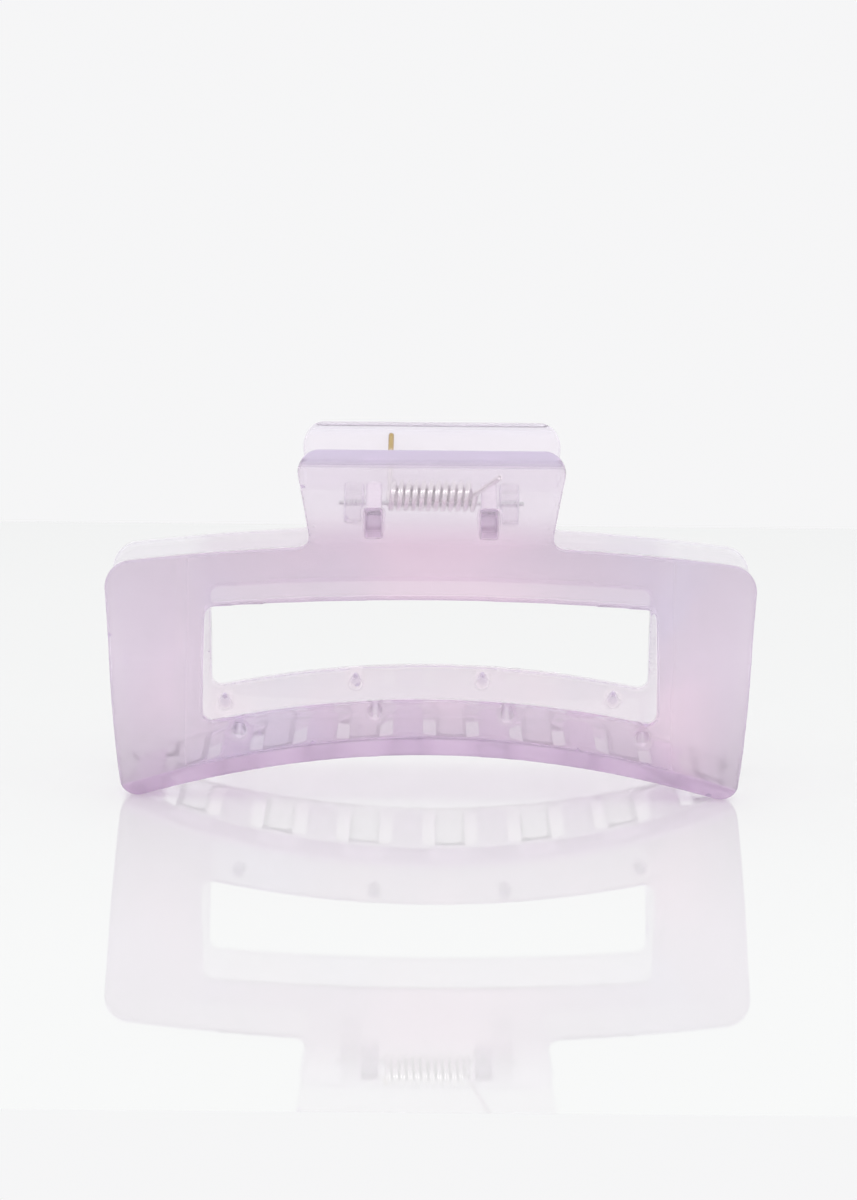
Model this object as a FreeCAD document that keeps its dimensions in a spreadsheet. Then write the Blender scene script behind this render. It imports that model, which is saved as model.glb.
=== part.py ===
import FreeCAD, Part
import math
import os
import Sketcher

# A rectangular claw clip for hair: two identical open-frame jaws, a hinge pin and a torsion spring.
# X runs along the clip, Y is depth and Z is up.
# The origin is on the surface that the clip stands on, midway between the two jaws.
# Each jaw is built with its outer face towards +Y. The front jaw is then turned half a turn about Z.

SIZES = [
    # wall section, seen along X
    ("wall", 2.6),
    ("bulge_y", 2.5),
    ("bulge_z", 13.0),
    ("bulge_radius", 18.0),
    ("neck_y", 13.2),
    ("neck_z", 36.0),
    ("grip_lean", 44.0),
    ("grip_top", 57.2),
    ("foot_cut", 2.0),
    # outline of the jaw, seen along Y
    ("blank_length", 108.0),
    ("arch_rise", 7.601),
    ("arch_radius", 146.0),
    ("foot_corner_x", 46.95),
    ("foot_corner_radius", 2.8),
    ("frame_top", 40.8),
    ("frame_top_radius", 403.0),
    ("frame_corner_x", 48.1),
    ("frame_corner_radius", 4.4),
    ("shoulder_x", 21.5),
    ("shoulder_radius", 1.8),
    ("grip_corner_x", 17.4),
    ("grip_corner_radius", 4.0),
    # window
    ("window_half", 36.3),
    ("window_top", 31.8),
    ("window_top_radius", 476.0),
    ("window_bottom", 16.7),
    ("window_bottom_radius", 169.0),
    ("window_corner_radius", 1.5),
    # comb of fingers
    ("web_height", 2.7),
    ("finger_pitch", 14.0),
    ("finger_first_x", -38.5),
    ("finger_half", 2.5),
    ("finger_tip_gap", 1.8),
    ("web_depth", 0.8),
    ("comb_half", 53.5),
    ("comb_back_y", 18.6),
    ("comb_back_radius", 310.0),
    # thorns on the inner face
    ("thorn_base_radius", 1.35),
    ("thorn_tip_radius", 0.3),
    ("thorn_length", 4.6),
    ("thorn_rise", 6.4),
    ("thorn_tilt", 28.0),
    ("thorn_sink", 1.0),
    # hinge
    ("pin_z", 47.0),
    ("pin_diameter", 1.0),
    ("pin_length", 30.2),
    ("pin_end_round", 0.2),
    ("pin_running_gap", 0.05),
    ("lug_radius", 3.8),
    ("lug_root_top_y", 15.0),
    ("lug_root_top_z", 46.4),
    ("lug_root_low_y", 12.6),
    ("lug_root_low_z", 41.8),
    ("inner_lug_start", 8.0),
    ("inner_lug_width", 2.6),
    ("outer_lug_start", 10.9),
    ("outer_lug_width", 3.3),
    # torsion spring
    ("wire_diameter", 0.95),
    ("coil_radius", 2.3),
    ("coil_z", 48.25),
    ("back_leg_angle", 300.0),
    ("front_leg_angle", 233.0),
    ("coil_full_turns", 11.0),
    ("coil_half_length", 6.75),
    ("leg_bend_radius", 2.0),
    ("back_leg_tip_y", 18.7),
    ("back_leg_tip_z", 55.0),
    ("front_leg_bend_y", 5.2),
    ("front_leg_tip_x", 10.8),
    ("front_leg_tip_y", 16.75),
    ("front_leg_tip_z", 53.0),
]

FINGERS = 7
THORN_PLACES = [30.5, 8.7, -12.35, -34.1]

SIZE = dict(SIZES)


def make_sheet(doc):
    """Put every driving dimension in the spreadsheet as a plain number with an alias."""
    sheet = doc.addObject("Spreadsheet::Sheet", "sizes")
    for row, (alias, value) in enumerate(SIZES, start=1):
        sheet.set("A%d" % row, alias)
        sheet.set("B%d" % row, str(value))
        sheet.setAlias("B%d" % row, alias)
    doc.recompute()
    return sheet


def origin_plane(body, role):
    return next(item for item in body.Origin.OriginFeatures if item.Role == role)


def add_sketch(body, name, role):
    sketch = body.newObject("Sketcher::SketchObject", name)
    sketch.AttachmentSupport = [(origin_plane(body, role), "")]
    sketch.MapMode = "FlatFace"
    return sketch


def vec(x, y):
    return FreeCAD.Vector(x, y, 0)


def line(start, end):
    return Part.LineSegment(vec(*start), vec(*end))


def arc(centre, radius, start, end):
    """Arc about centre, counter-clockwise from the direction of start to the direction of end."""
    first = math.atan2(start[1] - centre[1], start[0] - centre[0])
    last = math.atan2(end[1] - centre[1], end[0] - centre[0])
    if last < first:
        last += 2 * math.pi
    return Part.ArcOfCircle(Part.Circle(vec(*centre), FreeCAD.Vector(0, 0, 1), radius), first, last)


def bind(sketch, constraint, expression):
    """Add one dimension and bind it to a formula of the sheet's cells."""
    index = sketch.addConstraint(constraint)
    sketch.setExpression("Constraints[%d]" % index, expression)


def place_centre(sketch, geo, centre, x_formula=None, y_formula=None):
    if x_formula is not None:
        bind(sketch, Sketcher.Constraint("DistanceX", -1, 1, geo, 3, centre[0]), x_formula)
    if y_formula is not None:
        bind(sketch, Sketcher.Constraint("DistanceY", -1, 1, geo, 3, centre[1]), y_formula)


def set_radius(sketch, geo, radius, formula):
    bind(sketch, Sketcher.Constraint("Radius", geo, radius), formula)


def neck_radius():
    """Radius of the neck's outer face, which is tangent to the bulge."""
    across = SIZE["neck_y"] - SIZE["bulge_y"]
    along = SIZE["neck_z"] - SIZE["bulge_z"]
    bulge = SIZE["bulge_radius"]
    return (across ** 2 + along ** 2 - bulge ** 2) / (2 * (bulge - across))


def join_chain(sketch, chain, corners=()):
    """Join the elements of a closed chain end to end, tangent except at the named corners.

    Each element is (geometry, entry point, exit point), where 1 is a start point and 2 an end point.
    """
    for number, (geo, _, exit_point) in enumerate(chain):
        following, entry_point, _ = chain[(number + 1) % len(chain)]
        kind = "Coincident" if number in corners else "Tangent"
        sketch.addConstraint(Sketcher.Constraint(kind, geo, exit_point, following, entry_point))


def arch_z(x):
    """Height of the arched lower edge at x."""
    radius = SIZE["arch_radius"]
    return SIZE["arch_rise"] - radius + math.sqrt(radius ** 2 - x ** 2)


def inner_face_formula(x_text, lift):
    """Formula of the depth of the inner face, at a height above the arched edge, for the sheet."""
    arch = "(sizes.arch_rise - sizes.arch_radius + sqrt(sizes.arch_radius^2 - (%s)^2))" % x_text
    drop = "(sizes.bulge_z - %s - %s)" % (arch, lift)
    return "sizes.bulge_y + sqrt((sizes.bulge_radius - sizes.wall)^2 - %s^2)" % drop


def inner_face_y(x, lift):
    """Depth of the inner face, at a height above the arched edge."""
    drop = SIZE["bulge_z"] - arch_z(x) - lift
    return SIZE["bulge_y"] + math.sqrt((SIZE["bulge_radius"] - SIZE["wall"]) ** 2 - drop ** 2)


def add_comb(body):
    """The comb: a web along the inside of the wall with seven fingers that point at the other jaw."""
    sketch = add_sketch(body, "comb_plan", "XY_Plane")
    sketch.AttachmentOffset = FreeCAD.Placement(FreeCAD.Vector(0, 0, -SIZE["foot_cut"]), FreeCAD.Rotation())
    half = SIZE["finger_half"]
    pitch = SIZE["finger_pitch"]
    gap = pitch / 2 - half
    gap_formula = "sizes.finger_pitch / 2 - sizes.finger_half"
    chain = []

    def add(shape, entry_point=1, exit_point=2):
        chain.append((sketch.addGeometry(shape), entry_point, exit_point))
        return chain[-1][0]

    def root(number):
        x = SIZE["finger_first_x"] + (number - 0.5) * pitch
        formula = "sizes.finger_first_x + %s * sizes.finger_pitch" % (number - 0.5)
        y = inner_face_y(x, SIZE["web_height"] / 2) - SIZE["web_depth"] - gap
        face = inner_face_formula(formula, "sizes.web_height / 2")
        y_formula = "%s - sizes.web_depth - (%s)" % (face, gap_formula)
        return x, y, formula, y_formula

    def tip(number):
        x = SIZE["finger_first_x"] + number * pitch
        formula = "sizes.finger_first_x + %d * sizes.finger_pitch" % number
        y = -(inner_face_y(x, 0) - SIZE["finger_tip_gap"]) + half
        y_formula = "-(%s - sizes.finger_tip_gap) + sizes.finger_half" % inner_face_formula(formula, "0")
        return x, y, formula, y_formula

    def add_root(number, start, end):
        x, y, formula, y_formula = root(number)
        geo = add(arc((x, y), gap, (x + start[0], y + start[1]), (x + end[0], y + end[1])), 2, 1)
        set_radius(sketch, geo, gap, gap_formula)
        place_centre(sketch, geo, (x, y), formula, y_formula)
        return x, y

    # from the left end of the web, along the fingers to the right end, and back along the outer edge
    end_x = SIZE["comb_half"]
    back_radius = SIZE["comb_back_radius"]
    back_centre = SIZE["comb_back_y"] - back_radius
    back_end = back_centre + math.sqrt(back_radius ** 2 - end_x ** 2)
    first_x, first_y = root(0)[:2]
    left_side = add(line((-end_x, back_end), (-end_x, first_y + gap)))
    left_edge = add(line((-end_x, first_y + gap), (first_x, first_y + gap)))
    root_x, root_y = add_root(0, (gap, 0), (0, gap))
    for number in range(FINGERS):
        x, y, formula, y_formula = tip(number)
        add(line((x - half, root_y), (x - half, y)))
        tip_arc = add(arc((x, y), half, (x - half, y), (x + half, y)))
        set_radius(sketch, tip_arc, half, "sizes.finger_half")
        place_centre(sketch, tip_arc, (x, y), formula, y_formula)
        next_y = root(number + 1)[1]
        add(line((x + half, y), (x + half, next_y)))
        last = number == FINGERS - 1
        root_x, root_y = add_root(number + 1, (0, gap) if last else (gap, 0), (-gap, 0))
    right_edge = add(line((root_x, root_y + gap), (end_x, root_y + gap)))
    right_side = add(line((end_x, root_y + gap), (end_x, back_end)))
    back = add(arc((0, back_centre), back_radius, (end_x, back_end), (-end_x, back_end)))
    count = len(chain)
    join_chain(sketch, chain, (0, count - 3, count - 2, count - 1))
    for geo in (left_edge, right_edge):
        sketch.addConstraint(Sketcher.Constraint("Horizontal", geo))
    for geo, sign in ((left_side, "-"), (right_side, "")):
        sketch.addConstraint(Sketcher.Constraint("Vertical", geo))
        place = -end_x if sign else end_x
        bind(sketch, Sketcher.Constraint("DistanceX", -1, 1, geo, 1, place), sign + "sizes.comb_half")
    set_radius(sketch, back, back_radius, "sizes.comb_back_radius")
    place_centre(sketch, back, (0, back_centre), "0", "sizes.comb_back_y - sizes.comb_back_radius")

    pad = body.newObject("PartDesign::Pad", "comb")
    pad.Profile = sketch
    pad.setExpression("Length", "sizes.arch_rise + sizes.web_height + 2 * sizes.foot_cut")


def add_pocket(body, sketch, name):
    pocket = body.newObject("PartDesign::Pocket", name)
    pocket.Profile = sketch
    pocket.Type = "ThroughAll"
    pocket.SideType = "Symmetric"
    return pocket


def cut_comb_top(body):
    """Trim the comb to a web of even height that follows the arched lower edge."""
    sketch = add_sketch(body, "web_top", "XZ_Plane")
    radius = SIZE["arch_radius"]
    centre = SIZE["arch_rise"] + SIZE["web_height"] - radius
    half = SIZE["blank_length"] / 2
    low = centre + math.sqrt(radius ** 2 - half ** 2)
    high = SIZE["arch_rise"] + SIZE["web_height"] + 2 * SIZE["foot_cut"]
    chain = [
        (sketch.addGeometry(arc((0, centre), radius, (half, low), (-half, low))), 1, 2),
        (sketch.addGeometry(line((-half, low), (-half, high))), 1, 2),
        (sketch.addGeometry(line((-half, high), (half, high))), 1, 2),
        (sketch.addGeometry(line((half, high), (half, low))), 1, 2),
    ]
    join_chain(sketch, chain, (0, 1, 2, 3))
    sketch.addConstraint(Sketcher.Constraint("Horizontal", 2))
    for geo, sign in ((1, "-"), (3, "")):
        sketch.addConstraint(Sketcher.Constraint("Vertical", geo))
        place = -half if sign else half
        bind(sketch, Sketcher.Constraint("DistanceX", -1, 1, geo, 1, place), sign + "sizes.blank_length / 2")
    set_radius(sketch, 0, radius, "sizes.arch_radius")
    place_centre(sketch, 0, (0, centre), "0", "sizes.arch_rise + sizes.web_height - sizes.arch_radius")
    bind(
        sketch,
        Sketcher.Constraint("DistanceY", -1, 1, 2, 1, high),
        "sizes.arch_rise + sizes.web_height + 2 * sizes.foot_cut",
    )
    add_pocket(body, sketch, "web_trim")


def add_wall(body):
    """The wall and grip: a bulge, a neck that curves back out and a straight grip end, all one thickness."""
    sketch = add_sketch(body, "wall_section", "YZ_Plane")
    wall = SIZE["wall"]
    bulge = SIZE["bulge_radius"]
    neck = neck_radius()
    low = (SIZE["bulge_y"], SIZE["bulge_z"])
    high = (SIZE["neck_y"] + neck, SIZE["neck_z"])
    across = math.atan2(high[1] - low[1], high[0] - low[0])
    lean = math.radians(SIZE["grip_lean"])
    grip = (math.sin(lean), math.cos(lean))

    def on(centre, radius, angle):
        return (centre[0] + radius * math.cos(angle), centre[1] + radius * math.sin(angle))

    foot = -SIZE["foot_cut"]
    outer_foot = (low[0] + math.sqrt(bulge ** 2 - (foot - low[1]) ** 2), foot)
    inner_foot = (low[0] + math.sqrt((bulge - wall) ** 2 - (foot - low[1]) ** 2), foot)
    outer_bend = on(high, neck, math.pi - lean)
    inner_bend = on(high, neck + wall, math.pi - lean)
    reach = (SIZE["grip_top"] - inner_bend[1]) / grip[1]
    inner_tip = (inner_bend[0] + reach * grip[0], SIZE["grip_top"])
    outer_tip = (outer_bend[0] + reach * grip[0], outer_bend[1] + reach * grip[1])
    chain = [
        (sketch.addGeometry(arc(low, bulge, outer_foot, on(low, bulge, across))), 1, 2),
        (sketch.addGeometry(arc(high, neck, outer_bend, on(low, bulge, across))), 2, 1),
        (sketch.addGeometry(line(outer_bend, outer_tip)), 1, 2),
        (sketch.addGeometry(line(outer_tip, inner_tip)), 1, 2),
        (sketch.addGeometry(line(inner_tip, inner_bend)), 1, 2),
        (sketch.addGeometry(arc(high, neck + wall, inner_bend, on(low, bulge - wall, across))), 1, 2),
        (sketch.addGeometry(arc(low, bulge - wall, inner_foot, on(low, bulge - wall, across))), 2, 1),
        (sketch.addGeometry(line(inner_foot, outer_foot)), 1, 2),
    ]
    join_chain(sketch, chain, (2, 3, 6, 7))
    set_radius(sketch, 0, bulge, "sizes.bulge_radius")
    set_radius(sketch, 6, bulge - wall, "sizes.bulge_radius - sizes.wall")
    place_centre(sketch, 0, low, "sizes.bulge_y", "sizes.bulge_z")
    place_centre(sketch, 6, low, "sizes.bulge_y", "sizes.bulge_z")
    gap = "(sizes.neck_y - sizes.bulge_y)"
    rise = "(sizes.neck_z - sizes.bulge_z)"
    neck_text = "(%s^2 + %s^2 - sizes.bulge_radius^2) / (2 * (sizes.bulge_radius - %s))" % (gap, rise, gap)
    for geo in (1, 5):
        place_centre(sketch, geo, high, "sizes.neck_y + " + neck_text, "sizes.neck_z")
    sketch.addConstraint(Sketcher.Constraint("Parallel", 2, 4))
    sketch.addConstraint(Sketcher.Constraint("Perpendicular", 2, 3))
    sketch.addConstraint(Sketcher.Constraint("Horizontal", 7))
    bind(sketch, Sketcher.Constraint("DistanceY", -1, 1, 7, 1, foot), "-sizes.foot_cut")
    bind(sketch, Sketcher.Constraint("DistanceY", -1, 1, 3, 2, SIZE["grip_top"]), "sizes.grip_top")
    angle = sketch.addConstraint(Sketcher.Constraint("Angle", -1, 1, 2, 1, math.pi / 2 - lean))
    sketch.setExpression("Constraints[%d]" % angle, "90 - sizes.grip_lean")

    pad = body.newObject("PartDesign::Pad", "wall")
    pad.Profile = sketch
    pad.SideType = "Symmetric"
    pad.setExpression("Length", "sizes.blank_length")


def add_outline(body):
    """Cut the wall to the jaw's outline: an arched lower edge, a wide frame and a narrower grip."""
    sketch = add_sketch(body, "outline", "XZ_Plane")
    frame_r = SIZE["frame_top_radius"]
    frame_c = SIZE["frame_top"] - frame_r
    arch_r = SIZE["arch_radius"]
    arch_c = SIZE["arch_rise"] - arch_r

    def top_z(x):
        return frame_c + math.sqrt(frame_r ** 2 - x ** 2)

    foot_r = SIZE["foot_corner_radius"]
    foot_x = SIZE["foot_corner_x"]
    foot_z = arch_z(foot_x) + foot_r
    side_r = SIZE["frame_corner_radius"]
    side_x = SIZE["frame_corner_x"]
    side_z = top_z(side_x) - side_r
    neck_r = SIZE["shoulder_radius"]
    neck_x = SIZE["shoulder_x"]
    neck_z = top_z(neck_x) + neck_r
    grip_r = SIZE["grip_corner_radius"]
    grip_x = SIZE["grip_corner_x"]
    grip_z = SIZE["grip_top"] - grip_r
    top = SIZE["grip_top"]
    quarter = math.pi / 2

    def corner(x, z, radius, first):
        shape = Part.ArcOfCircle(
            Part.Circle(vec(x, z), FreeCAD.Vector(0, 0, 1), radius), first, first + quarter
        )
        return sketch.addGeometry(shape)

    def edge(start, end):
        return sketch.addGeometry(line(start, end))

    arch = sketch.addGeometry(arc((0, arch_c), arch_r, (foot_x, arch_z(foot_x)), (-foot_x, arch_z(foot_x))))
    foot_right = corner(foot_x, foot_z, foot_r, -quarter)
    side_right = edge((foot_x + foot_r, foot_z), (side_x + side_r, side_z))
    frame_right = corner(side_x, side_z, side_r, 0)
    top_right = sketch.addGeometry(
        arc((0, frame_c), frame_r, (side_x, top_z(side_x)), (neck_x, top_z(neck_x)))
    )
    shoulder_right = corner(neck_x, neck_z, neck_r, 2 * quarter)
    tab_right = edge((neck_x - neck_r, neck_z), (grip_x + grip_r, grip_z))
    grip_right = corner(grip_x, grip_z, grip_r, 0)
    top_edge = edge((grip_x, top), (-grip_x, top))
    grip_left = corner(-grip_x, grip_z, grip_r, quarter)
    tab_left = edge((-grip_x - grip_r, grip_z), (-neck_x + neck_r, neck_z))
    shoulder_left = corner(-neck_x, neck_z, neck_r, 3 * quarter)
    top_left = sketch.addGeometry(
        arc((0, frame_c), frame_r, (-neck_x, top_z(neck_x)), (-side_x, top_z(side_x)))
    )
    frame_left = corner(-side_x, side_z, side_r, quarter)
    side_left = edge((-side_x - side_r, side_z), (-foot_x - foot_r, foot_z))
    foot_left = corner(-foot_x, foot_z, foot_r, 2 * quarter)
    join_chain(sketch, [
        (arch, 2, 1), (foot_right, 1, 2), (side_right, 1, 2), (frame_right, 1, 2), (top_right, 1, 2),
        (shoulder_right, 2, 1), (tab_right, 1, 2), (grip_right, 1, 2), (top_edge, 1, 2),
        (grip_left, 1, 2), (tab_left, 1, 2), (shoulder_left, 2, 1), (top_left, 1, 2),
        (frame_left, 1, 2), (side_left, 1, 2), (foot_left, 1, 2),
    ])
    corners = [
        (foot_right, foot_left, foot_x, foot_r, "foot_corner"),
        (frame_right, frame_left, side_x, side_r, "frame_corner"),
        (shoulder_right, shoulder_left, neck_x, neck_r, "shoulder"),
        (grip_right, grip_left, grip_x, grip_r, "grip_corner"),
    ]
    for right, left, x, radius, alias in corners:
        for geo, sign in ((right, 1), (left, -1)):
            set_radius(sketch, geo, radius, "sizes.%s_radius" % alias)
            place_centre(sketch, geo, (sign * x, 0), "%d * sizes.%s_x" % (sign, alias))
    for geo in (top_right, top_left):
        set_radius(sketch, geo, frame_r, "sizes.frame_top_radius")
        place_centre(sketch, geo, (0, frame_c), "0", "sizes.frame_top - sizes.frame_top_radius")
    set_radius(sketch, arch, arch_r, "sizes.arch_radius")
    place_centre(sketch, arch, (0, arch_c), "0", "sizes.arch_rise - sizes.arch_radius")
    sketch.addConstraint(Sketcher.Constraint("Horizontal", top_edge))
    bind(sketch, Sketcher.Constraint("DistanceY", -1, 1, top_edge, 1, top), "sizes.grip_top")

    # the stock around the outline, which the pocket removes
    half = SIZE["blank_length"] / 2 + 1
    border = [(-half, -half), (half, -half), (half, 2 * half), (-half, 2 * half)]
    first = edge(border[0], border[1])
    for number in range(1, 4):
        edge(border[number], border[(number + 1) % 4])
    for number in range(4):
        following = first + (number + 1) % 4
        sketch.addConstraint(Sketcher.Constraint("Coincident", first + number, 2, following, 1))
        sketch.addConstraint(Sketcher.Constraint("Block", first + number))
    add_pocket(body, sketch, "outline_trim")


def add_window(body):
    """Cut the long window through the wall."""
    sketch = add_sketch(body, "window_outline", "XZ_Plane")
    half = SIZE["window_half"]
    corner = SIZE["window_corner_radius"]
    quarter = math.pi / 2
    inset = half - corner
    edges = {}
    for name in ("window_top", "window_bottom"):
        radius = SIZE[name + "_radius"]
        centre = SIZE[name] - radius
        edges[name] = (centre, radius, centre + math.sqrt(radius ** 2 - inset ** 2))
    low = edges["window_bottom"][2]
    high = edges["window_top"][2]

    def long_arc(name):
        centre, radius, end = edges[name]
        geo = sketch.addGeometry(arc((0, centre), radius, (inset, end), (-inset, end)))
        set_radius(sketch, geo, radius, "sizes.%s_radius" % name)
        place_centre(sketch, geo, (0, centre), "0", "sizes.%s - sizes.%s_radius" % (name, name))
        return geo

    def small_arc(x, z, first):
        shape = Part.ArcOfCircle(
            Part.Circle(vec(x, z), FreeCAD.Vector(0, 0, 1), corner), first, first + quarter
        )
        geo = sketch.addGeometry(shape)
        set_radius(sketch, geo, corner, "sizes.window_corner_radius")
        return geo

    def side(x, start, end, sign):
        geo = sketch.addGeometry(line((x, start), (x, end)))
        sketch.addConstraint(Sketcher.Constraint("Vertical", geo))
        bind(sketch, Sketcher.Constraint("DistanceX", -1, 1, geo, 1, x), "%d * sizes.window_half" % sign)
        return geo

    bottom = long_arc("window_bottom")
    low_right = small_arc(inset, low + corner, -quarter)
    right = side(half, low + corner, high - corner, 1)
    high_right = small_arc(inset, high - corner, 0)
    top = long_arc("window_top")
    high_left = small_arc(-inset, high - corner, quarter)
    left = side(-half, high - corner, low + corner, -1)
    low_left = small_arc(-inset, low + corner, 2 * quarter)
    join_chain(sketch, [
        (bottom, 2, 1), (low_right, 1, 2), (right, 1, 2), (high_right, 1, 2),
        (top, 1, 2), (high_left, 1, 2), (left, 1, 2), (low_left, 1, 2),
    ])
    add_pocket(body, sketch, "window")


def add_lugs(body, which):
    """A pair of hinge lugs that reach from the wall to round heads on the pin's axis."""
    sketch = add_sketch(body, "lug_profile", "YZ_Plane")
    start = "sizes.%s_lug_start" % which
    sketch.AttachmentOffset = FreeCAD.Placement(
        FreeCAD.Vector(0, 0, SIZE[which + "_lug_start"]), FreeCAD.Rotation()
    )
    sketch.setExpression("AttachmentOffset.Base.z", start)
    centre = (0, SIZE["pin_z"])
    radius = SIZE["lug_radius"]
    high = (SIZE["lug_root_top_y"], SIZE["lug_root_top_z"])
    low = (SIZE["lug_root_low_y"], SIZE["lug_root_low_z"])
    head_top = (centre[0] + radius * math.sin(0.08), centre[1] + radius * math.cos(0.08))
    head_low = (centre[0] - radius * math.sin(0.1), centre[1] - radius * math.cos(0.1))
    chain = [
        (sketch.addGeometry(arc(centre, radius, head_top, head_low)), 1, 2),
        (sketch.addGeometry(line(head_low, low)), 1, 2),
        (sketch.addGeometry(line(low, high)), 1, 2),
        (sketch.addGeometry(line(high, head_top)), 1, 2),
    ]
    join_chain(sketch, chain, (1, 2))
    set_radius(sketch, 0, radius, "sizes.lug_radius")
    place_centre(sketch, 0, centre, "0", "sizes.pin_z")
    for alias, point in (("low", low), ("top", high)):
        position = 1 if alias == "low" else 2
        y_text = "sizes.lug_root_%s_y" % alias
        z_text = "sizes.lug_root_%s_z" % alias
        bind(sketch, Sketcher.Constraint("DistanceX", -1, 1, 2, position, point[0]), y_text)
        bind(sketch, Sketcher.Constraint("DistanceY", -1, 1, 2, position, point[1]), z_text)
    pad = body.newObject("PartDesign::Pad", "lug")
    pad.Profile = sketch
    pad.setExpression("Length", "sizes.%s_lug_width" % which)
    body.Document.recompute()
    mirror = body.newObject("PartDesign::Mirrored", "lug_pair")
    mirror.Originals = [pad]
    mirror.MirrorPlane = (origin_plane(body, "YZ_Plane"), [""])
    body.Tip = mirror


def add_thorns(body):
    """Four small pointed thorns on the inner face, above the comb, that tilt upwards."""
    tilt = SIZE["thorn_tilt"]
    for number, x in enumerate(THORN_PLACES):
        thorn = body.newObject("PartDesign::AdditiveCone", "thorn_%d" % (number + 1))
        thorn.setExpression("Radius1", "sizes.thorn_base_radius")
        thorn.setExpression("Radius2", "sizes.thorn_tip_radius")
        thorn.setExpression("Height", "sizes.thorn_length")
        y = inner_face_y(x, SIZE["thorn_rise"]) + SIZE["thorn_sink"]
        z = arch_z(x) + SIZE["thorn_rise"]
        turn = FreeCAD.Rotation(FreeCAD.Vector(1, 0, 0), 90 - tilt)
        thorn.Placement = FreeCAD.Placement(FreeCAD.Vector(x, y, z), turn)


def add_pin_hole(body, clearance):
    sketch = add_sketch(body, "pin_hole_outline", "YZ_Plane")
    centre = (0, SIZE["pin_z"])
    radius = SIZE["pin_diameter"] / 2 + (SIZE["pin_running_gap"] if clearance else 0)
    sketch.addGeometry(Part.Circle(vec(*centre), FreeCAD.Vector(0, 0, 1), radius))
    rule = "sizes.pin_diameter / 2" + (" + sizes.pin_running_gap" if clearance else "")
    set_radius(sketch, 0, radius, rule)
    place_centre(sketch, 0, centre, "0", "sizes.pin_z")
    add_pocket(body, sketch, "pin_hole")


def make_jaw(doc, name, lugs, clearance, turned):
    body = doc.addObject("PartDesign::Body", name)
    body.Label = name
    add_comb(body)
    cut_comb_top(body)
    add_wall(body)
    add_outline(body)
    add_window(body)
    doc.recompute()
    add_lugs(body, lugs)
    add_thorns(body)
    add_pin_hole(body, clearance)
    doc.recompute()
    body.Placement = FreeCAD.Placement(
        FreeCAD.Vector(0, 0, 0), FreeCAD.Rotation(FreeCAD.Vector(0, 0, 1), 180 if turned else 0)
    )
    return body


def make_pin(doc):
    """The straight steel pin, with rounded ends."""
    body = doc.addObject("PartDesign::Body", "hinge_pin")
    body.Label = "hinge_pin"
    sketch = add_sketch(body, "pin_section", "YZ_Plane")
    radius = SIZE["pin_diameter"] / 2
    sketch.addGeometry(Part.Circle(vec(0, 0), FreeCAD.Vector(0, 0, 1), radius))
    set_radius(sketch, 0, radius, "sizes.pin_diameter / 2")
    place_centre(sketch, 0, (0, 0), "0", "0")
    pad = body.newObject("PartDesign::Pad", "pin_shaft")
    pad.Profile = sketch
    pad.SideType = "Symmetric"
    pad.setExpression("Length", "sizes.pin_length")
    doc.recompute()
    ends = body.newObject("PartDesign::Fillet", "pin_ends")
    rims = [
        "Edge%d" % index
        for index, edge in enumerate(pad.Shape.Edges, start=1)
        if edge.Closed
    ]
    ends.Base = (pad, rims)
    ends.setExpression("Radius", "sizes.pin_end_round")
    body.Placement = FreeCAD.Placement(FreeCAD.Vector(0, 0, SIZE["pin_z"]), FreeCAD.Rotation())
    body.setExpression("Placement.Base.z", "sizes.pin_z")
    return body


def leg_path(start, corner, tip, bend_radius):
    """A path that runs straight from a coil's end to a corner, bends there and runs straight to the tip."""
    before = (corner - start).normalize()
    after = (tip - corner).normalize()
    half_turn = before.getAngle(after) / 2
    setback = bend_radius * math.tan(half_turn)
    bend_start = corner - before * setback
    bend_end = corner + after * setback
    inward = (after - before).normalize()
    middle = corner + inward * (bend_radius / math.cos(half_turn) - bend_radius)
    return Part.Wire([
        Part.LineSegment(start, bend_start).toShape(),
        Part.Arc(bend_start, middle, bend_end).toShape(),
        Part.LineSegment(bend_end, tip).toShape(),
    ])


def round_wire(path, start, direction):
    """A round wire swept along a path."""
    ring = Part.Circle(start, direction, SIZE["wire_diameter"] / 2)
    return path.makePipeShell([Part.Wire([ring.toShape()])], True, True)


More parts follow.
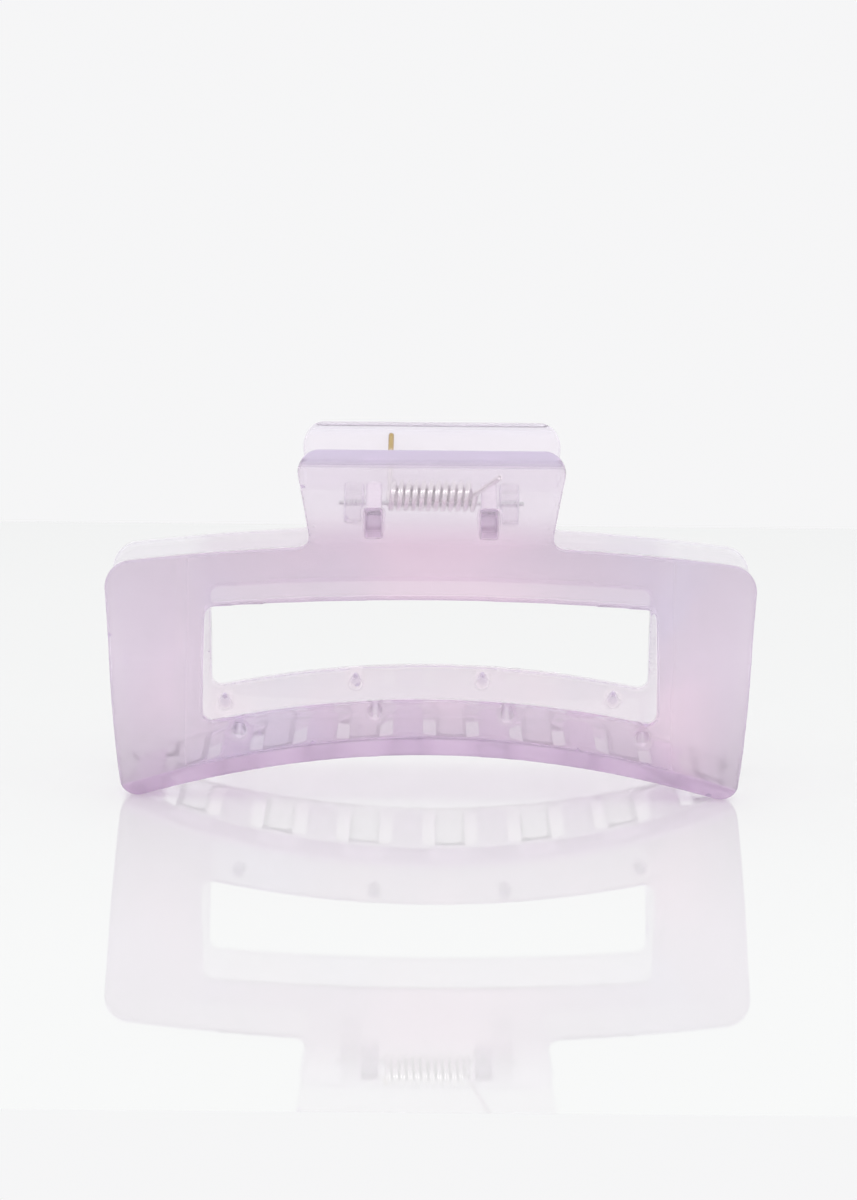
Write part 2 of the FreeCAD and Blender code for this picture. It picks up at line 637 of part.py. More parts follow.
def make_spring(doc, sheet):
    """The torsion spring: a close coil round the pin and two straight legs, one against each grip."""
    radius = sheet.coil_radius
    length = 2 * sheet.coil_half_length
    turns = sheet.coil_full_turns + (sheet.back_leg_angle - sheet.front_leg_angle) / 360
    pitch = length / turns
    slope = pitch / (2 * math.pi * radius)
    # a left-handed coil from its left end, with its axis turned from Z to X, and its X and Y to Y and Z
    helix = Part.makeHelix(pitch, length, radius, 0, True)
    helix.rotate(FreeCAD.Vector(0, 0, 0), FreeCAD.Vector(0, 0, 1), sheet.back_leg_angle)
    to_x = FreeCAD.Matrix(0, 0, 1, -length / 2, 1, 0, 0, 0, 0, 1, 0, sheet.coil_z, 0, 0, 0, 1)
    helix.Placement = FreeCAD.Placement(to_x).multiply(helix.Placement)

    def on_coil(angle, x):
        return FreeCAD.Vector(x, radius * math.cos(angle), sheet.coil_z + radius * math.sin(angle))

    def along(angle):
        return FreeCAD.Vector(slope, math.sin(angle), -math.cos(angle)).normalize()

    back_angle = math.radians(sheet.back_leg_angle)
    front_angle = math.radians(sheet.front_leg_angle)
    start = on_coil(back_angle, -length / 2)
    end = on_coil(front_angle, length / 2)
    back_way = along(back_angle) * -1
    front_way = along(front_angle)
    back_tip = FreeCAD.Vector(start.x, sheet.back_leg_tip_y, sheet.back_leg_tip_z)
    front_tip = FreeCAD.Vector(sheet.front_leg_tip_x, -sheet.front_leg_tip_y, sheet.front_leg_tip_z)
    back_corner = start + back_way * sheet.leg_bend_radius
    front_corner = end + front_way * ((sheet.front_leg_bend_y + end.y) / -front_way.y)
    back_leg = leg_path(start, back_corner, back_tip, sheet.leg_bend_radius)
    front_leg = leg_path(end, front_corner, front_tip, sheet.leg_bend_radius)
    coil = round_wire(Part.Wire(helix.Edges), start, back_way)
    legs = [round_wire(back_leg, start, back_way), round_wire(front_leg, end, front_way)]
    spring = doc.addObject("Part::Feature", "torsion_spring")
    spring.Label = "torsion_spring"
    spring.Shape = coil.multiFuse(legs)
    spring.Placement = FreeCAD.Placement()
    return spring


def check(doc, parts):
    for item in doc.Objects:
        bad = [state for state in item.State if state in ("Invalid", "Error")]
        if bad:
            raise RuntimeError("%s is %s" % (item.Name, bad))
    for part in parts:
        shape = part.Shape
        if shape.isNull() or not shape.isValid() or len(shape.Solids) != 1:
            raise RuntimeError("%s has no single valid solid" % part.Label)
        print(part.Label, "volume %.1f mm3" % shape.Volume)


def main():
    doc = FreeCAD.newDocument("claw_clip")
    sheet = make_sheet(doc)
    parts = [
        make_jaw(doc, "back_jaw", "outer", False, False),
        make_jaw(doc, "front_jaw", "inner", True, True),
        make_pin(doc),
        make_spring(doc, sheet),
    ]
    doc.recompute()
    check(doc, parts)
    os.makedirs("parts", exist_ok=True)
    for part in parts:
        part.Shape.exportStep("parts/%s.step" % part.Label)


main()
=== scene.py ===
import math

import bpy
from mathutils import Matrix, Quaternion, Vector


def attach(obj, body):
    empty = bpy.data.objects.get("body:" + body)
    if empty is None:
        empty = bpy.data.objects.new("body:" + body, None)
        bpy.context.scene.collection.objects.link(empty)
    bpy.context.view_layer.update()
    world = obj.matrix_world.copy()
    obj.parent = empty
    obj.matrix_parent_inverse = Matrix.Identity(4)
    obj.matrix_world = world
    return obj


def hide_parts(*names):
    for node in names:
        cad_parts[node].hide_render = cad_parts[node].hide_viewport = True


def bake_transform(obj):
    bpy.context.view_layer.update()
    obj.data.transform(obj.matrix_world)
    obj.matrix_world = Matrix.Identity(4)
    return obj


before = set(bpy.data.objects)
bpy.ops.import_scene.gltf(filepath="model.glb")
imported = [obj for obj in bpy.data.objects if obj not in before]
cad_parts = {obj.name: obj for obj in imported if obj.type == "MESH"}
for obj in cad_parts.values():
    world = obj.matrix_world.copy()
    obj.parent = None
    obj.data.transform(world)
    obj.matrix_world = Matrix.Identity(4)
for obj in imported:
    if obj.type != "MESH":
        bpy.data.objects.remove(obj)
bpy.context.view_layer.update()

MM = 0.001

# ---------------------------------------------------------------- node helpers


def new_material(name):
    """A material, its node tree and its Principled shader."""
    material = bpy.data.materials.new(name)
    material.use_nodes = True
    tree = material.node_tree
    return material, tree, tree.nodes["Principled BSDF"]


def solid(color):
    return (*color, 1.0)


def grey(level):
    return (level, level, level)


def feed(tree, socket, source):
    """Give a node's input a plain value or another node's output."""
    if isinstance(source, bpy.types.NodeSocket):
        tree.links.new(source, socket)
    else:
        socket.default_value = source


def object_place(tree):
    """Where a point is on its object, in metres."""
    return tree.nodes.new("ShaderNodeTexCoord").outputs["Object"]


def add_split(tree, vector):
    """The X, Y and Z of a vector."""
    split = tree.nodes.new("ShaderNodeSeparateXYZ")
    tree.links.new(vector, split.inputs["Vector"])
    return split.outputs


def add_noise(tree, place, scale, detail, roughness=0.5, distortion=0.0):
    noise = tree.nodes.new("ShaderNodeTexNoise")
    noise.inputs["Scale"].default_value = scale
    noise.inputs["Detail"].default_value = detail
    noise.inputs["Roughness"].default_value = roughness
    noise.inputs["Distortion"].default_value = distortion
    tree.links.new(place, noise.inputs["Vector"])
    return noise.outputs["Fac"]


def add_ramp(tree, factor, stops):
    """Colours at positions from 0 to 1, with soft steps between them."""
    ramp = tree.nodes.new("ShaderNodeValToRGB")
    ramp.color_ramp.interpolation = "EASE"
    elements = ramp.color_ramp.elements
    while len(elements) < len(stops):
        elements.new(0.5)
    for element, (position, color) in zip(elements, stops):
        element.position = position
        element.color = solid(color)
    tree.links.new(factor, ramp.inputs["Fac"])
    return ramp.outputs["Color"]


def add_math(tree, operation, *terms):
    """A math node on sockets and plain numbers."""
    node = tree.nodes.new("ShaderNodeMath")
    node.operation = operation
    for term, socket in zip(terms, node.inputs):
        feed(tree, socket, term)
    return node.outputs["Value"]


def add_fade(tree, value, start, full, low=0.0, high=1.0):
    """Low where a value is at or before start, high where it is at or past full, smooth between."""
    fade = tree.nodes.new("ShaderNodeMapRange")
    fade.interpolation_type = "SMOOTHSTEP"
    rising = full > start
    fade.inputs["From Min"].default_value = min(start, full)
    fade.inputs["From Max"].default_value = max(start, full)
    fade.inputs["To Min"].default_value = low if rising else high
    fade.inputs["To Max"].default_value = high if rising else low
    tree.links.new(value, fade.inputs["Value"])
    return fade.outputs["Result"]


def add_share(tree, length, start, full):
    """0 where a length is at or before start, 1 where it is at or past full, in mm."""
    return add_fade(tree, length, start * MM, full * MM)


def add_distance(tree, place, centre):
    """Distance from a centre given in mm."""
    gap = tree.nodes.new("ShaderNodeVectorMath")
    gap.operation = "DISTANCE"
    tree.links.new(place, gap.inputs[0])
    gap.inputs[1].default_value = [length * MM for length in centre]
    return gap.outputs["Value"]


def add_flat_distance(tree, split, axes, centre):
    """Distance from a centre given in mm, measured in the plane of two axes."""
    flat = tree.nodes.new("ShaderNodeCombineXYZ")
    for axis in axes:
        tree.links.new(split[axis], flat.inputs[axis])
    return add_distance(tree, flat.outputs["Vector"], centre)


def add_mix(tree, kind, share, first, second):
    """The first value where a share is 0 and the second where it is 1, as RGBA or FLOAT."""
    blend = tree.nodes.new("ShaderNodeMix")
    blend.data_type = kind
    first_socket, second_socket = [
        socket for socket in blend.inputs if socket.enabled and socket.name in ("A", "B")
    ]
    tree.links.new(share, blend.inputs["Factor"])
    feed(tree, first_socket, first)
    feed(tree, second_socket, second)
    return [socket for socket in blend.outputs if socket.enabled][0]


# ---------------------------------------------------------------- camera and studio

AIM = Vector((-0.35, 0.0, 30.1)) * MM
CAMERA_DISTANCE = 0.900
CAMERA_RISE = math.radians(7.75)
CAMERA_ROLL = math.radians(0.5)
CAMERA_LENS = 165.5
CAMERA_SENSOR = 36.0
CAMERA_CLIP_START = 0.01

ROOM_WHITE = (0.920, 0.920, 0.926)
# the room's strength is 1 behind the clip and this on the camera's side; it goes from one to
# the other between these two values of Y in the direction of view
ROOM_FRONT = 0.97
ROOM_FADE = (-0.75, 0.25)

# the softboxes stand to the sides, because the clip's flat walls would mirror one in the middle
SOFTBOXES = (("softbox_left", (-0.55, -0.35, 0.6)), ("softbox_right", (0.55, -0.35, 0.6)))
SOFTBOX_TARGET = (0.0, 0.0, 0.03)
SOFTBOX_SIZE = 0.3
SOFTBOX_POWER = 0.9

FLOOR_WHITE = (0.87, 0.88, 0.87)
FLOOR_ROUGHNESS = 0.02
FLOOR_IOR = 1.6
FLOOR_FRONT, FLOOR_BACK, FLOOR_HALF = -0.239, 0.347, 0.5


def add_camera():
    data = bpy.data.cameras.new("camera")
    data.lens = CAMERA_LENS
    data.sensor_width = CAMERA_SENSOR
    data.clip_start = CAMERA_CLIP_START
    camera = bpy.data.objects.new("camera", data)
    away = Vector((0.0, -math.cos(CAMERA_RISE), math.sin(CAMERA_RISE)))
    camera.location = AIM + away * CAMERA_DISTANCE
    look = (-away).to_track_quat("-Z", "Y")
    camera.rotation_mode = "QUATERNION"
    camera.rotation_quaternion = look @ Quaternion((0.0, 0.0, 1.0), CAMERA_ROLL)
    bpy.context.scene.collection.objects.link(camera)
    bpy.context.scene.camera = camera


def add_softbox(name, place):
    data = bpy.data.lights.new(name, "AREA")
    data.shape = "RECTANGLE"
    data.size = data.size_y = SOFTBOX_SIZE
    data.energy = SOFTBOX_POWER
    lamp = bpy.data.objects.new(name, data)
    lamp.location = place
    lamp.rotation_mode = "QUATERNION"
    lamp.rotation_quaternion = (Vector(SOFTBOX_TARGET) - Vector(place)).to_track_quat("-Z", "Y")
    bpy.context.scene.collection.objects.link(lamp)


def add_studio():
    """A white room, bright behind the clip and dimmer on the camera's side, and two softboxes."""
    world = bpy.data.worlds.new("studio")
    world.use_nodes = True
    tree = world.node_tree
    background = tree.nodes["Background"]
    background.inputs["Color"].default_value = solid(ROOM_WHITE)
    way = add_split(tree, tree.nodes.new("ShaderNodeTexCoord").outputs["Generated"])
    strength = add_fade(tree, way["Y"], *ROOM_FADE, low=ROOM_FRONT)
    tree.links.new(strength, background.inputs["Strength"])
    bpy.context.scene.world = world
    bpy.context.scene.view_settings.view_transform = "Standard"
    for name, place in SOFTBOXES:
        add_softbox(name, place)


def add_floor():
    """A sheet of white acrylic that mirrors the clip faintly."""
    material, _, shader = new_material("floor_gloss")
    shader.inputs["Base Color"].default_value = solid(FLOOR_WHITE)
    shader.inputs["Roughness"].default_value = FLOOR_ROUGHNESS
    shader.inputs["IOR"].default_value = FLOOR_IOR
    corners = [
        (-FLOOR_HALF, FLOOR_FRONT, 0.0),
        (FLOOR_HALF, FLOOR_FRONT, 0.0),
        (FLOOR_HALF, FLOOR_BACK, 0.0),
        (-FLOOR_HALF, FLOOR_BACK, 0.0),
    ]
    mesh = bpy.data.meshes.new("floor")
    mesh.from_pydata(corners, [], [(0, 1, 2, 3)])
    mesh.materials.append(material)
    floor = bpy.data.objects.new("floor", mesh)
    bpy.context.scene.collection.objects.link(floor)


# ---------------------------------------------------------------- measures of a jaw, in mm

# the arch of the lower edge: how high it rises and its radius
ARCH_RISE, ARCH_RADIUS = 7.6, 146.0
# the back jaw's thorns: their X, their height over the arch and their Y
THORN_X = (30.5, 8.7, -12.35, -34.1)
THORN_RISE = 7.4
THORN_Y = 15.5
# the circles of the neck's and the wall's inner faces, in the back jaw
NECK_CENTRE_Y, NECK_CENTRE_Z, NECK_INNER_RADIUS = 35.1, 36.0, 24.5
WALL_CENTRE_Y, WALL_CENTRE_Z, WALL_INNER_RADIUS = 2.5, 13.0, 15.4

# ---------------------------------------------------------------- plastic

# tints along the swirls of the two mouldings, from bluish lilac to pink and mauve; the back jaw's
# copy of the same plastic is paler, partly swirls that vary between mouldings and partly painted
# light for how the back jaw is lit
PALE_TINTS = [
    (0.18, (0.90, 0.87, 0.92)),
    (0.27, (0.91, 0.87, 0.91)),
    (0.36, (0.93, 0.87, 0.91)),
    (0.90, (0.78, 0.70, 0.80)),
]
LILAC_TINTS = [
    (0.18, (0.80, 0.74, 0.84)),
    (0.30, (0.81, 0.73, 0.81)),
    (0.50, (0.92, 0.78, 0.87)),
    (0.90, (0.92, 0.76, 0.86)),
]
# how clear each plastic is, and what it absorbs in its depth
PALE_CLARITY, PALE_DEPTH, PALE_DENSITY = 0.84, (0.58, 0.42, 0.59), 18.0
LILAC_CLARITY, LILAC_DEPTH, LILAC_DENSITY = 0.74, (0.58, 0.42, 0.62), 26.0

SWIRL_WEIGHT = 0.55
SWIRL = {"scale": 38.0, "detail": 3.0, "roughness": 0.45, "distortion": 0.6}
SMEARS = {"scale": 260.0, "detail": 4.0}
SMEAR_GLOSS = [(0.35, grey(0.05)), (0.75, grey(0.10))]
RIPPLE = {"scale": 90.0, "detail": 2.0}
RIPPLE_STRENGTH, RIPPLE_HEIGHT = 0.1, 0.2 * MM
PLASTIC_IOR = 1.36
COAT_WEIGHT, COAT_ROUGHNESS = 0.3, 0.04
LAMP_TINT = (0.95, 0.935, 0.95)

# where the zones start and where they are full, in mm
GRIP_Z = (40.0, 47.0)
GRIP_EDGE_Z = (54.3, 55.6)
RIM_WIDTH = (3.1, 2.5)
PALE_END_X = (35.0, 41.0)
LILAC_END_X = (36.0, 52.0)
LUG_INWARD = (0.1, 0.6)
LUG_Z = (39.0, 40.5)
# and for the painted shade along the rounded edges, as Blender's pointiness, which is 0.5 on a flat
# face
EDGE_SHADE_POINTINESS = (0.515, 0.57)

# clouds are (centre, radius, weight), in mm: pink ones in the front jaw, and a small mauve one
# at each of the back jaw's thorns
PINK_CLOUDS = [
    ((0.0, -18.0, 36.0), 32.0, 0.28),
    ((-45.0, -20.0, 14.0), 20.0, 0.16),
    ((45.0, -20.0, 13.0), 18.0, 0.10),
]
THORN_CLOUD_RADIUS, THORN_CLOUD_WEIGHT = 3.2, 1.1


def grip_zone(tree, split):
    return add_share(tree, split["Z"], *GRIP_Z)


def grip_edge_zone(tree, split):
    return add_share(tree, split["Z"], *GRIP_EDGE_Z)


def rim_zone(tree, split):
    """The comb's web, along the arched lower edge."""
    reach = add_flat_distance(tree, split, "XZ", (0.0, 0.0, ARCH_RISE - ARCH_RADIUS))
    return add_share(tree, reach, *(ARCH_RADIUS + width for width in RIM_WIDTH))


def pale_end_zone(tree, split):
    return add_share(tree, add_math(tree, "ABSOLUTE", split["X"]), *PALE_END_X)


def lilac_end_zone(tree, split):
    return add_share(tree, add_math(tree, "ABSOLUTE", split["X"]), *LILAC_END_X)


def lug_zone(tree, split):
    """The front jaw's lugs: what stands inward of its neck's curved inner face."""
    reach = add_flat_distance(tree, split, "YZ", (0.0, -NECK_CENTRE_Y, NECK_CENTRE_Z))
    inward = add_share(tree, reach, *(NECK_INNER_RADIUS + depth for depth in LUG_INWARD))
    raised = add_share(tree, split["Z"], *LUG_Z)
    return add_math(tree, "MULTIPLY", inward, raised)


def edge_outline_shade_zone(tree, split):
    """The rounded edges, found by how pointed the surface is: a darker outline there, partly the
    longer path through the plastic and partly painted shade for the dim room that the edges
    refract.
    """
    pointiness = tree.nodes.new("ShaderNodeNewGeometry").outputs["Pointiness"]
    return add_fade(tree, pointiness, *EDGE_SHADE_POINTINESS)


# zones are (share, tint, clarity); where two meet, the later one lies on top
PALE_ZONES = [
    (pale_end_zone, (0.96, 0.95, 0.97), 0.90),
    (grip_zone, (0.92, 0.89, 0.93), 0.84),
    # painted shade: a darker violet outline along the rounded edges
    (edge_outline_shade_zone, (0.77, 0.69, 0.85), 0.50),
    (grip_edge_zone, (0.92, 0.89, 0.95), 0.75),
]
LILAC_ZONES = [
    (grip_zone, (0.98, 0.95, 0.98), 0.84),
    (lilac_end_zone, (0.81, 0.73, 0.82), 0.50),
    (lug_zone, (1.00, 0.91, 1.00), 0.30),
    (grip_edge_zone, (0.79, 0.71, 0.88), 0.35),
    (rim_zone, (0.87, 0.72, 0.89), 0.45),
    # painted shade: a darker violet outline along the rounded edges
    (edge_outline_shade_zone, (0.70, 0.60, 0.76), 0.50),
]


def thorn_clouds():
    clouds = []
    for x in THORN_X:
        arch_drop = ARCH_RADIUS - math.sqrt(ARCH_RADIUS ** 2 - x ** 2)
        centre = (x, THORN_Y, ARCH_RISE - arch_drop + THORN_RISE)
        clouds.append((centre, THORN_CLOUD_RADIUS, THORN_CLOUD_WEIGHT))
    return clouds


def milky_plastic(name, tints, clouds, zones, clarity, depth_color, depth_density):
    """Translucent plastic with soft clouds of tint in a clear body that deepens with its depth.

    Where the share of a zone is 1, the plastic has that zone's tint and clarity, as in the thicker
    and the thinner parts of the moulding;
    the edge zone's darker outline is partly painted shade.
    """
    material, tree, shader = new_material(name)
    place = object_place(tree)
    split = add_split(tree, place)
    tone = add_math(tree, "MULTIPLY", add_noise(tree, place, **SWIRL), SWIRL_WEIGHT)
    for centre, radius, weight in clouds:
        cloud = add_share(tree, add_distance(tree, place, centre), radius, 0.0)
        tone = add_math(tree, "MULTIPLY_ADD", cloud, weight, tone)
    tint = add_ramp(tree, tone, tints)
    for make_share, zone_tint, zone_clarity in zones:
        share = make_share(tree, split)
        tint = add_mix(tree, "RGBA", share, tint, solid(zone_tint))
        clarity = add_mix(tree, "FLOAT", share, clarity, zone_clarity)
    tree.links.new(tint, shader.inputs["Base Color"])
    tree.links.new(clarity, shader.inputs["Transmission Weight"])
    gloss = add_ramp(tree, add_noise(tree, place, **SMEARS), SMEAR_GLOSS)
    tree.links.new(gloss, shader.inputs["Roughness"])
    bump = tree.nodes.new("ShaderNodeBump")
    bump.inputs["Strength"].default_value = RIPPLE_STRENGTH
    bump.inputs["Distance"].default_value = RIPPLE_HEIGHT
    tree.links.new(add_noise(tree, place, **RIPPLE), bump.inputs["Height"])
    tree.links.new(bump.outputs["Normal"], shader.inputs["Normal"])
    shader.inputs["IOR"].default_value = PLASTIC_IOR
    shader.inputs["Coat Weight"].default_value = COAT_WEIGHT
    shader.inputs["Coat Roughness"].default_value = COAT_ROUGHNESS
    depth = tree.nodes.new("ShaderNodeVolumeAbsorption")
    depth.inputs["Color"].default_value = solid(depth_color)
    depth.inputs["Density"].default_value = depth_density
    output = tree.nodes["Material Output"]
    tree.links.new(depth.outputs["Volume"], output.inputs["Volume"])
    # light from the lamps passes through the plastic and is tinted by it
    clear = tree.nodes.new("ShaderNodeBsdfTransparent")
    clear.inputs["Color"].default_value = solid(LAMP_TINT)
    passing = tree.nodes.new("ShaderNodeMixShader")
    from_lamp = tree.nodes.new("ShaderNodeLightPath").outputs["Is Shadow Ray"]
    tree.links.new(from_lamp, passing.inputs["Fac"])
    tree.links.new(shader.outputs["BSDF"], passing.inputs[1])
    tree.links.new(clear.outputs["BSDF"], passing.inputs[2])
    tree.links.new(passing.outputs["Shader"], output.inputs["Surface"])
    return material


# painted light in part: the back jaw gets a paler, clearer copy of the same plastic for how it is
# lit
def pale_plastic():
    return milky_plastic(
        "pale_lilac_plastic", PALE_TINTS, thorn_clouds(), PALE_ZONES,
        PALE_CLARITY, PALE_DEPTH, PALE_DENSITY,
    )


def lilac_plastic():
    return milky_plastic(
        "lilac_plastic", LILAC_TINTS, PINK_CLOUDS, LILAC_ZONES,
        LILAC_CLARITY, LILAC_DEPTH, LILAC_DENSITY,
    )


# ---------------------------------------------------------------- metal

TONE_SPECKLE = {"scale": 700.0, "detail": 3.0}
GLOSS_SPECKLE = {"scale": 4000.0, "detail": 2.0}
SPECKLE_LOW, SPECKLE_HIGH = 0.3, 0.7
# how far the roughness strays from its middle, as a share of it
GLOSS_SPREAD = 0.4
SPRING_TONES, SPRING_ROUGHNESS = ((0.80, 0.76, 0.77), (0.93, 0.90, 0.90)), 0.2
PIN_TONES, PIN_ROUGHNESS = ((0.62, 0.62, 0.64), (0.78, 0.78, 0.79)), 0.25
# the wire's tip in the back grip: its colour, and the Y over which it sets in, in mm
BRASS = (0.60, 0.44, 0.20)
BRASS_Y = (12.5, 15.0)


def metal(name, tones, roughness):
    """Drawn wire with a little variation in its tone and its gloss."""
    material, tree, shader = new_material(name)
    shader.inputs["Metallic"].default_value = 1.0
    place = object_place(tree)
    stops = list(zip((SPECKLE_LOW, SPECKLE_HIGH), tones))
    color = add_ramp(tree, add_noise(tree, place, **TONE_SPECKLE), stops)
    tree.links.new(color, shader.inputs["Base Color"])
    spread = roughness * GLOSS_SPREAD
    stops = [(SPECKLE_LOW, grey(roughness - spread)), (SPECKLE_HIGH, grey(roughness + spread))]
    gloss = add_ramp(tree, add_noise(tree, place, **GLOSS_SPECKLE), stops)
    tree.links.new(gloss, shader.inputs["Roughness"])
    return material


def spring_metal():
    """Bright wire, whose tip in the back grip has a warm brass tone."""
    material = metal("spring_wire_metal", SPRING_TONES, SPRING_ROUGHNESS)
    tree = material.node_tree
    color_socket = tree.nodes["Principled BSDF"].inputs["Base Color"]
    bright = color_socket.links[0].from_socket
    tip = add_share(tree, add_split(tree, object_place(tree))["Y"], *BRASS_Y)
    tree.links.new(add_mix(tree, "RGBA", tip, bright, solid(BRASS)), color_socket)
    return material


def pin_metal():
    return metal("pin_steel", PIN_TONES, PIN_ROUGHNESS)


# ---------------------------------------------------------------- jaws

VOXEL = 0.32 * MM
SMOOTHING_FACTOR = 0.5
SMOOTHING_ROUNDS = 9
# a jaw's rounding is gentler on its small features. A thorn is within this of its X, between
# these heights and this far inward of the wall, in mm
THORN_HALF_WIDTH = 2.2
THORN_Z = (5.0, 20.0)
THORN_CLEARANCE = 0.25
THORN_ROUNDING = 0.1
# and the lugs are in this block round the pin
LUG_HALF_X, LUG_HALF_Y = 15.5, 12.0
LUG_BLOCK_Z = (42.0, 51.5)
LUG_ROUNDING = 0.4


def rounding_share(point, facing):
    """How strongly the edges of a jaw are rounded: 1 on its wall, less on its thorns and lugs.

    Facing is 1 for the back jaw and -1 for the front one, which is the same half a turn round.
    """
    x, y, z = point.x * facing / MM, point.y * facing / MM, point.z / MM
    near_thorn = any(abs(x - thorn_x) < THORN_HALF_WIDTH for thorn_x in THORN_X)
    if near_thorn and THORN_Z[0] < z < THORN_Z[1]:
        wall_y = WALL_CENTRE_Y + math.sqrt(WALL_INNER_RADIUS ** 2 - (z - WALL_CENTRE_Z) ** 2)
        if y < wall_y - THORN_CLEARANCE:
            return THORN_ROUNDING
    beside_pin = abs(x) < LUG_HALF_X and abs(y) < LUG_HALF_Y
    if beside_pin and LUG_BLOCK_Z[0] < z < LUG_BLOCK_Z[1]:
        return LUG_ROUNDING
    return 1.0


def finished_mesh(obj, name):
    """The mesh of an object with its modifiers applied."""
    bpy.context.view_layer.update()
    evaluated = obj.evaluated_get(bpy.context.evaluated_depsgraph_get())
    mesh = bpy.data.meshes.new_from_object(evaluated)
    mesh.name = name
    return mesh


def moulded_jaw(node, body, material):
    """The jaw as it leaves the mould and the tumbler: every edge and corner softly rounded."""
    name = node + "_moulded"
    blank = bpy.data.objects.new(node + "_blank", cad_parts[node].data.copy())
    bpy.context.scene.collection.objects.link(blank)
    skin = blank.modifiers.new("skin", "REMESH")
    skin.mode = "VOXEL"
    skin.voxel_size = VOXEL
    sharp_mesh = finished_mesh(blank, name)
    bpy.data.objects.remove(blank)
    jaw = bpy.data.objects.new(name, sharp_mesh)
    bpy.context.scene.collection.objects.link(jaw)
    facing = 1.0 if body == "back" else -1.0
    rounding = jaw.vertex_groups.new(name="rounding")
    for vertex in sharp_mesh.vertices:
        rounding.add([vertex.index], rounding_share(vertex.co, facing), "REPLACE")
    smooth = jaw.modifiers.new("rounding", "SMOOTH")
    smooth.factor = SMOOTHING_FACTOR
    smooth.iterations = SMOOTHING_ROUNDS
    smooth.vertex_group = "rounding"
    mesh = finished_mesh(jaw, name)
    jaw.data = mesh
    jaw.modifiers.clear()
    jaw.vertex_groups.clear()
    mesh.materials.clear()
    mesh.materials.append(material)
    mesh.shade_smooth()
    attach(jaw, body)
    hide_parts(node)


# ---------------------------------------------------------------- spring and pin

# the spring's sizes are the ones of its solid in the frame
WIRE_RADIUS = 0.475 * MM
COIL_RADIUS = 2.3 * MM
COIL_Z = 48.25 * MM
COIL_HALF = 6.75 * MM
FULL_TURNS = 11
# where on the coil the legs leave it, seen along the pin
BACK_ANGLE = math.radians(300.0)
FRONT_ANGLE = math.radians(233.0)
LEG_BEND = 2.0 * MM
BACK_TIP = (18.7 * MM, 55.0 * MM)
FRONT_BEND_Y = 5.2 * MM
FRONT_TIP = Vector((10.8, -16.75, 53.0)) * MM

POINTS_PER_TURN = 24
POINTS_PER_BEND = 8
WIRE_SIDES = 16
# each end of the wire is cupped: rings turn in over it, toward a face of this share of its radius
END_RINGS = 3
END_CUP = 0.5


def bent_leg(start, corner, tip):
    """Points of a straight run, a bend and a straight run."""
    before = (corner - start).normalized()
    after = (tip - corner).normalized()
    setback = LEG_BEND * math.tan(before.angle(after) / 2)
    first = corner - before * setback
    last = corner + after * setback
    bend = []
    for number in range(POINTS_PER_BEND + 1):
        share = number / POINTS_PER_BEND
        bend.append(first.lerp(corner, share).lerp(corner.lerp(last, share), share))
    return [start] + bend + [tip]


def spring_path():
    """The wire's centre line: the back leg, a left-handed coil and the front leg."""
    turning = FULL_TURNS * 2 * math.pi + BACK_ANGLE - FRONT_ANGLE
    count = round(turning / (2 * math.pi) * POINTS_PER_TURN)
    slope = 2 * COIL_HALF / (turning * COIL_RADIUS)
    coil = []
    for number in range(count + 1):
        share = number / count
        angle = BACK_ANGLE - turning * share
        x = -COIL_HALF + 2 * COIL_HALF * share
        y = COIL_RADIUS * math.cos(angle)
        z = COIL_Z + COIL_RADIUS * math.sin(angle)
        coil.append(Vector((x, y, z)))

    def along(angle):
        return Vector((slope, math.sin(angle), -math.cos(angle))).normalized()

    back_corner = coil[0] - along(BACK_ANGLE) * LEG_BEND
    front_way = along(FRONT_ANGLE)
    front_corner = coil[-1] + front_way * ((FRONT_BEND_Y + coil[-1].y) / -front_way.y)
    back_leg = bent_leg(coil[0], back_corner, Vector((coil[0].x, *BACK_TIP)))
    front_leg = bent_leg(coil[-1], front_corner, FRONT_TIP)
    return back_leg[::-1] + coil[1:-1] + front_leg


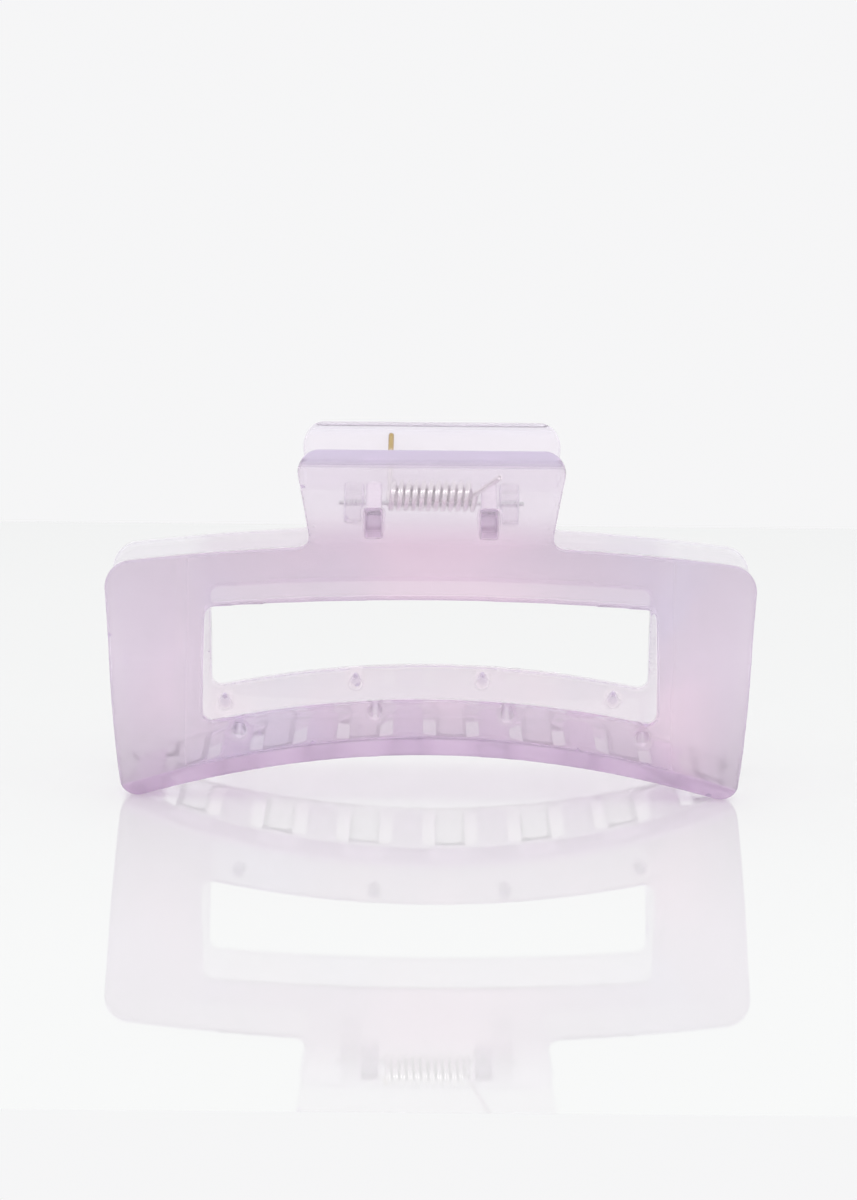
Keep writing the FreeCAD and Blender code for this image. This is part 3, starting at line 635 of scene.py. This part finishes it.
def wire_mesh(name, points, radius):
    """A round wire with cupped ends, carried along a path without twist."""
    verts, rings, faces = [], [], []
    last = len(points) - 1
    tangents = []
    for number in range(len(points)):
        ahead = points[min(number + 1, last)]
        behind = points[max(number - 1, 0)]
        tangents.append((ahead - behind).normalized())

    def add_ring(centre, across, up, scale):
        rings.append(len(verts))
        for step in range(WIRE_SIDES):
            angle = 2 * math.pi * step / WIRE_SIDES
            spoke = across * math.cos(angle) + up * math.sin(angle)
            verts.append(centre + spoke * radius * scale)

    def add_cup(point, outward, across, up, steps):
        for step in steps:
            lift = END_CUP * math.sin(math.pi / 2 * step / END_RINGS)
            add_ring(point + outward * radius * lift, across, up, END_CUP + lift)

    side = tangents[0].orthogonal().normalized()
    for number, (point, tangent) in enumerate(zip(points, tangents)):
        side = (side - tangent * side.dot(tangent)).normalized()
        up = tangent.cross(side)
        if number == 0:
            add_cup(point, -tangent, side, up, range(END_RINGS))
        add_ring(point, side, up, 1.0)
        if number == last:
            add_cup(point, tangent, side, up, reversed(range(END_RINGS)))
    for first, second in zip(rings, rings[1:]):
        for step in range(WIRE_SIDES):
            following = (step + 1) % WIRE_SIDES
            faces.append((first + step, first + following, second + following, second + step))
    faces.append(tuple(range(rings[0] + WIRE_SIDES - 1, rings[0] - 1, -1)))
    faces.append(tuple(range(rings[-1], rings[-1] + WIRE_SIDES)))
    mesh = bpy.data.meshes.new(name)
    mesh.from_pydata([tuple(vert) for vert in verts], [], faces)
    mesh.validate()
    mesh.shade_smooth()
    return mesh


def add_spring(material):
    mesh = wire_mesh("spring_wire", spring_path(), WIRE_RADIUS)
    mesh.materials.append(material)
    spring = bpy.data.objects.new("spring_wire", mesh)
    bpy.context.scene.collection.objects.link(spring)
    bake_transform(spring)
    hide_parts("torsion_spring")


def finish_pin(material):
    """The pin stays the CAD node; only its material is new."""
    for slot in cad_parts["hinge_pin"].material_slots:
        slot.material = material


# ---------------------------------------------------------------- the scene

add_camera()
add_studio()
add_floor()
moulded_jaw("back_jaw", "back", pale_plastic())
moulded_jaw("front_jaw", "front", lilac_plastic())
add_spring(spring_metal())
finish_pin(pin_metal())
